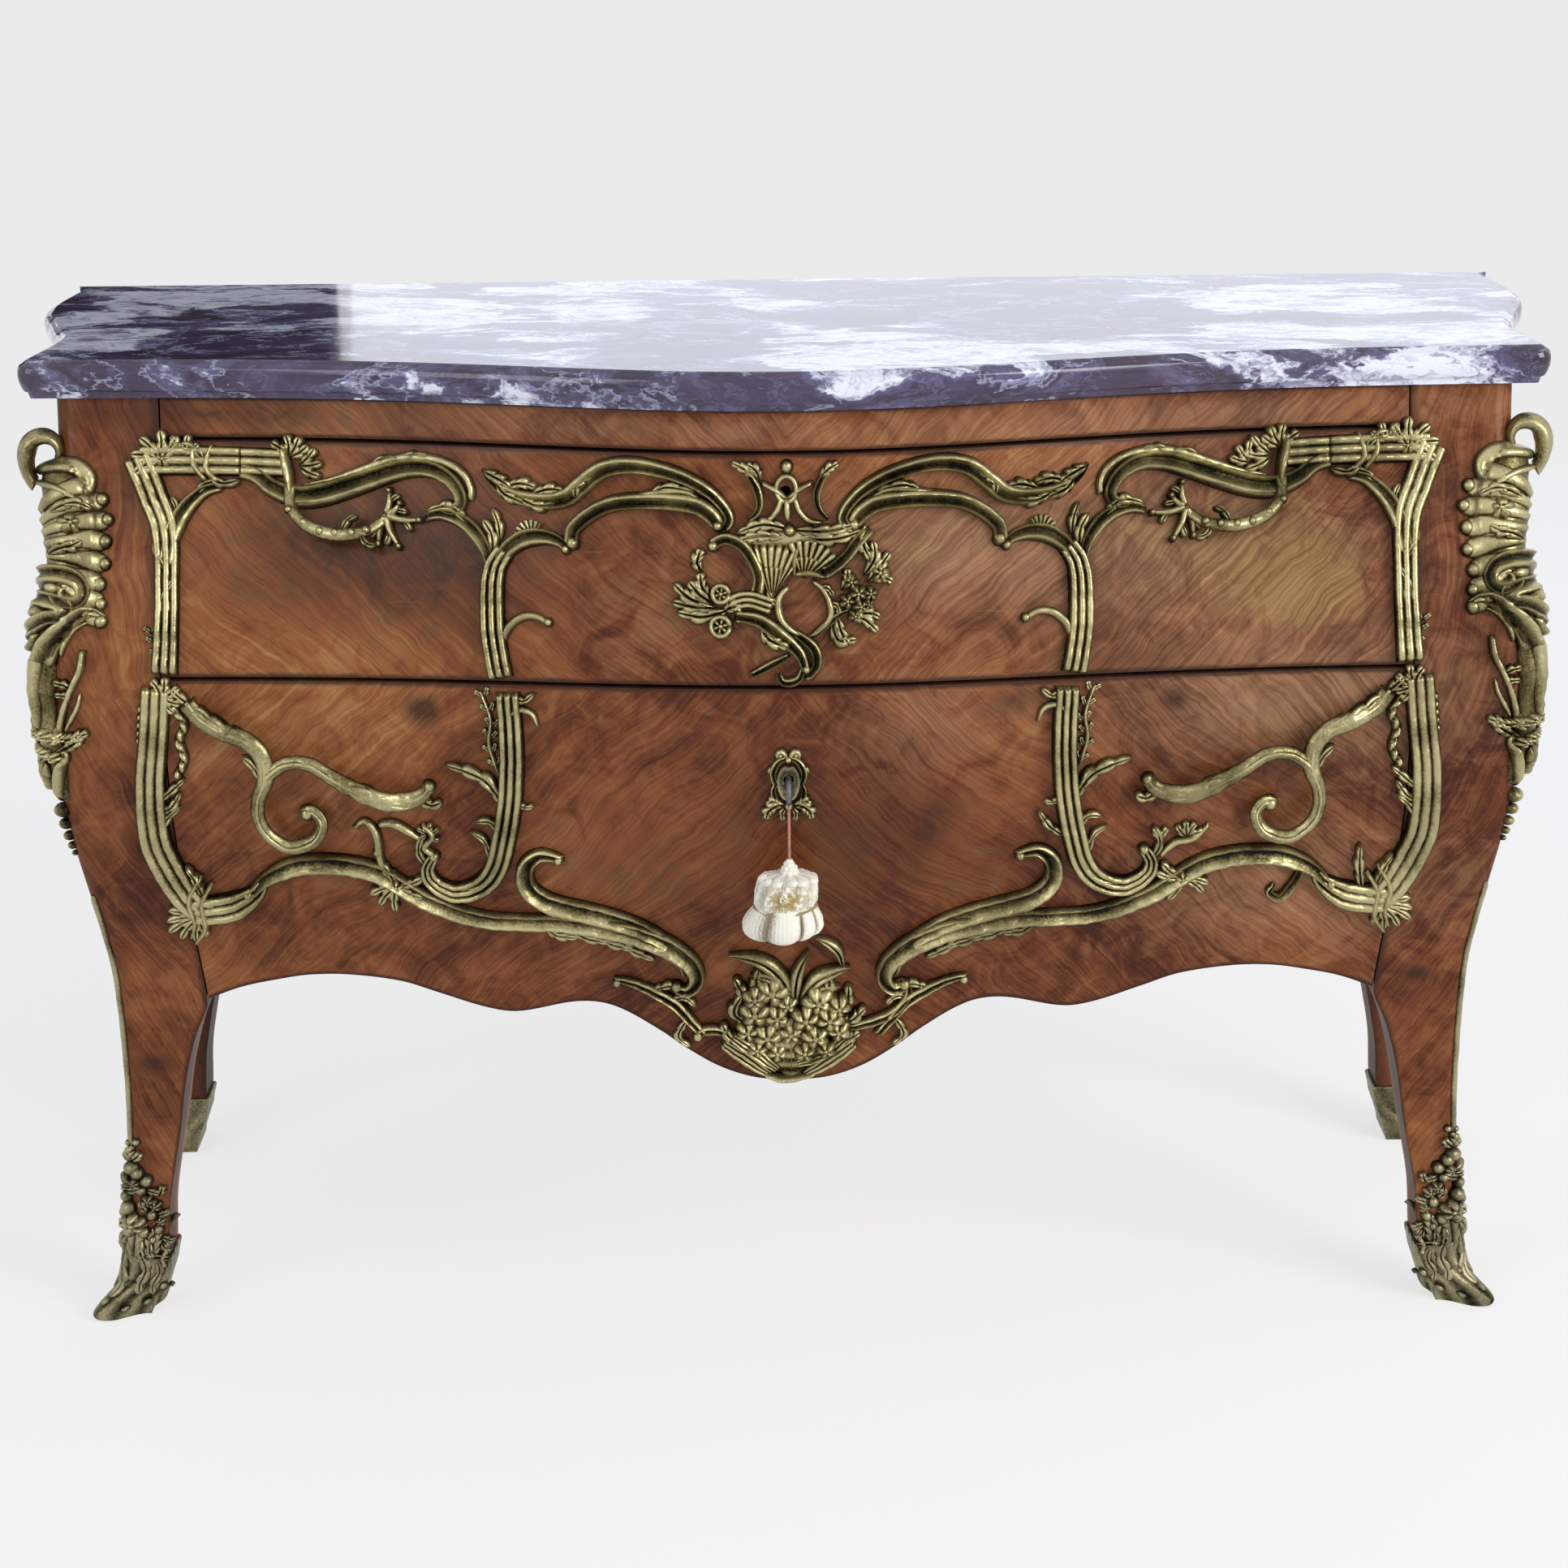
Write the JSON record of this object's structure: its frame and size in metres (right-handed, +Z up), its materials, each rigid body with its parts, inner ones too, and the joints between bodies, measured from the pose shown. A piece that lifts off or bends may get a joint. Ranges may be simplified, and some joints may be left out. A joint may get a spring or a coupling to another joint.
{
  "type": "chest of drawers",
  "caption": "Bombe commode with a serpentine front, drawers one above another, cast bronze mounts, cabriole legs and a moulded marble top.",
  "frame": {"origin": "on the floor under the middle of the commode, measured without the hanging tassel", "axes": "+X along the front towards the viewer's right, +Y from the front to the back, +Z up"},
  "size_m": [1.3794, 0.5795, 0.89],
  "materials": {
    "marble": null,
    "veneer": "polished kingwood veneer",
    "dark_veneer": "polished dark kingwood veneer",
    "oak": "plain oak",
    "iron": "worn iron",
    "bronze": "chased bronze with worn gilding",
    "silk": "silk threads"
  },
  "bodies": {
    "carcass": {"marble_top": "marble", "front_left_leg": "dark_veneer", "front_right_leg": "dark_veneer", "back_left_leg": "dark_veneer", "back_right_leg": "dark_veneer", "left_side_panel": "veneer", "right_side_panel": "veneer", "frieze_rail": "veneer", "mid_rail": "oak", "dust_board": "oak", "bottom_board": "oak", "back_panel": "oak", "back_top_rail": "oak", "upper_left_guide": "oak", "upper_right_guide": "oak", "lower_left_guide": "oak", "lower_right_guide": "oak", "front_left_sabot": "bronze", "front_right_sabot": "bronze", "back_left_sabot": "bronze", "back_right_sabot": "bronze", "left_chute": "bronze", "right_chute": "bronze", "left_edge_strip": "bronze", "right_edge_strip": "bronze"},
    "upper_drawer": {"upper_drawer_front": "veneer", "upper_drawer_left_side": "oak", "upper_drawer_right_side": "oak", "upper_drawer_bottom": "oak", "upper_drawer_back": "oak", "upper_lock_case": "iron", "upper_left_frame": "bronze", "upper_right_frame": "bronze", "upper_left_branch_pull": "bronze", "upper_right_branch_pull": "bronze", "upper_left_scroll": "bronze", "upper_right_scroll": "bronze", "centre_cartouche": "bronze"},
    "lower_drawer": {"lower_drawer_front": "veneer", "lower_drawer_left_side": "oak", "lower_drawer_right_side": "oak", "lower_drawer_bottom": "oak", "lower_drawer_back": "oak", "lower_lock_case": "iron", "lock_escutcheon": "bronze", "lower_left_frame": "bronze", "lower_right_frame": "bronze", "lower_left_scroll_pull": "bronze", "lower_right_scroll_pull": "bronze", "lower_left_scroll": "bronze", "lower_right_scroll": "bronze", "apron_basket": "bronze", "left_apron_sprig": "bronze", "right_apron_sprig": "bronze", "tassel_cord": "silk", "key_tassel": "silk"},
    "key": {"key": "iron"},
    "upper_bolt": {"upper_lock_bolt": "iron"},
    "lower_bolt": {"lower_lock_bolt": "iron"}
  },
  "joints": [
    {"name": "upper_drawer_slide", "type": "slide", "parent": "carcass", "child": "upper_drawer", "axis": [0, -1, 0], "range_m": [0, 0.3]},
    {"name": "lower_drawer_slide", "type": "slide", "parent": "carcass", "child": "lower_drawer", "axis": [0, -1, 0], "range_m": [0, 0.3]},
    {"name": "key_turn", "type": "hinge", "parent": "lower_drawer", "child": "key", "pos_m": [0, -0.27033, 0.544], "axis": [0, 1, 0], "range_deg": [0, 180]},
    {"name": "lower_bolt_throw", "type": "slide", "parent": "lower_drawer", "child": "lower_bolt", "axis": [0, 0, 1], "range_m": [0, 0.009]},
    {"name": "upper_bolt_throw", "type": "slide", "parent": "upper_drawer", "child": "upper_bolt", "axis": [0, 0, 1], "range_m": [0, 0.009]}
  ],
  "couplings": [
    {"joint": "lower_bolt_throw", "follows": "key_turn", "m_per_rad": 0.002864}
  ]
}
